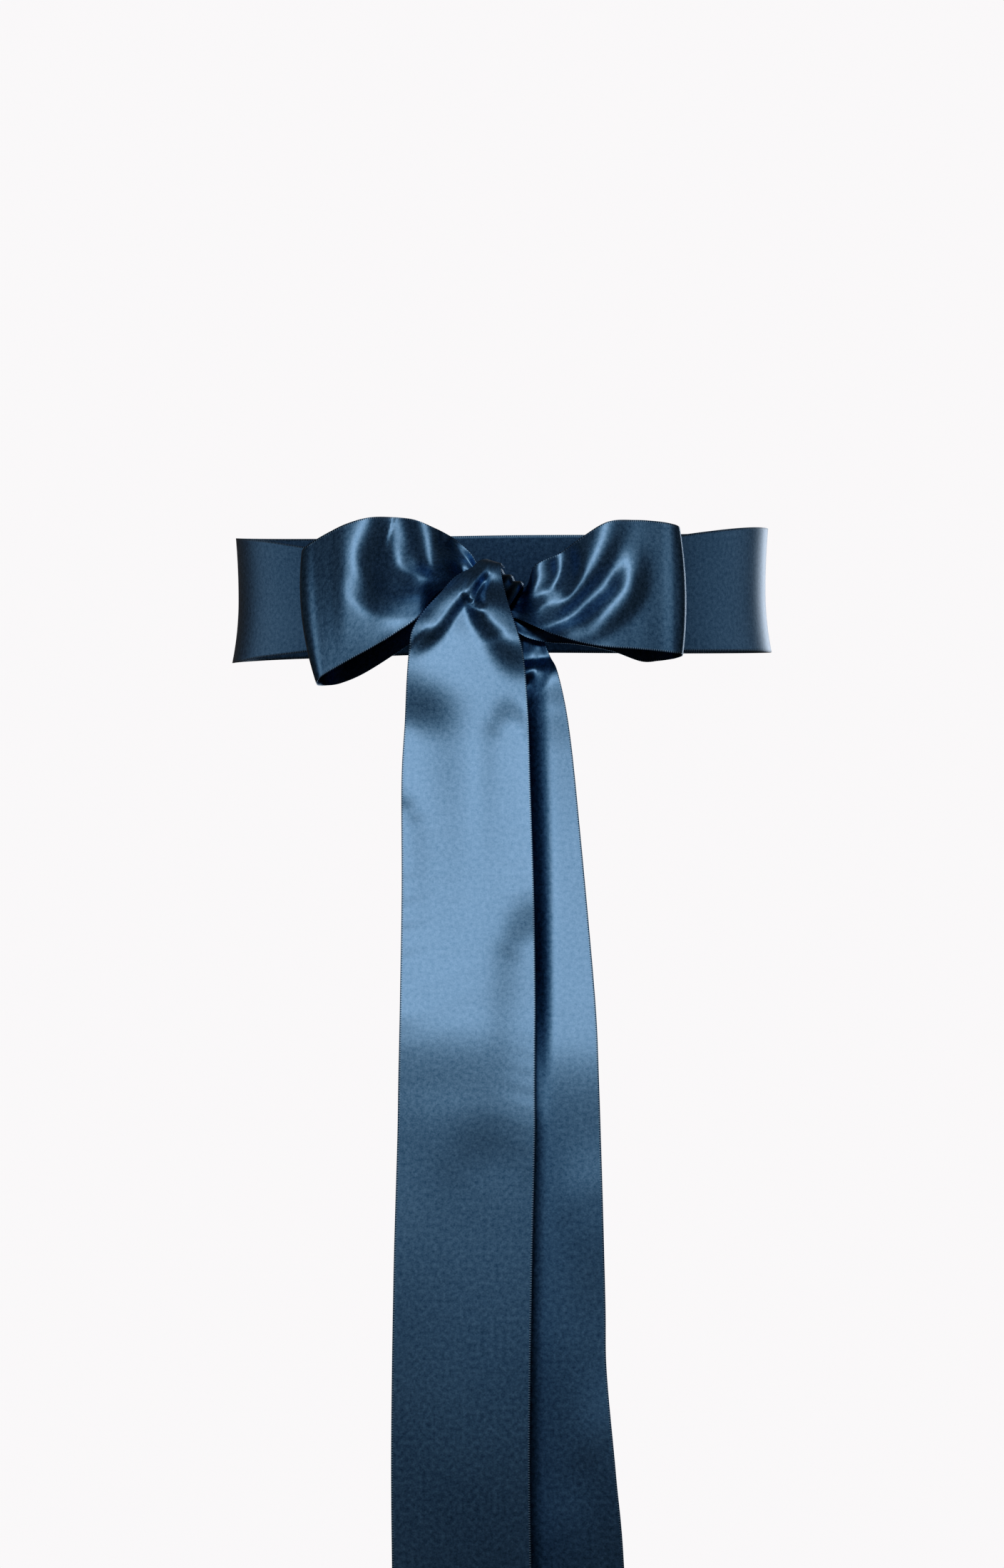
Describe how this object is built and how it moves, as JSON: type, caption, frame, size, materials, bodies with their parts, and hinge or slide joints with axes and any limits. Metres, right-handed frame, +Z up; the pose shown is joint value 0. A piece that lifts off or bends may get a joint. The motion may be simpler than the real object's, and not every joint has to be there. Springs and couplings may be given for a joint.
{
  "type": "satin sash",
  "caption": "Wide satin ribbon sash worn round a waist and tied behind in a bow with two long hanging tails.",
  "frame": {"origin": "middle of the waist that the band goes round, at the band's middle height", "axes": "+Z up; +Y the way the wearer faces, with the bow on the -Y side; +X to the wearer's right"},
  "size_m": [0.3263, 0.3603, 0.7286],
  "materials": {
    "satin": "glossy woven satin"
  },
  "bodies": {
    "root": {"waist_band": "satin", "bow_knot": "satin", "left_loop": "satin", "right_loop": "satin", "front_tail": "satin", "back_tail": "satin"}
  },
  "joints": []
}
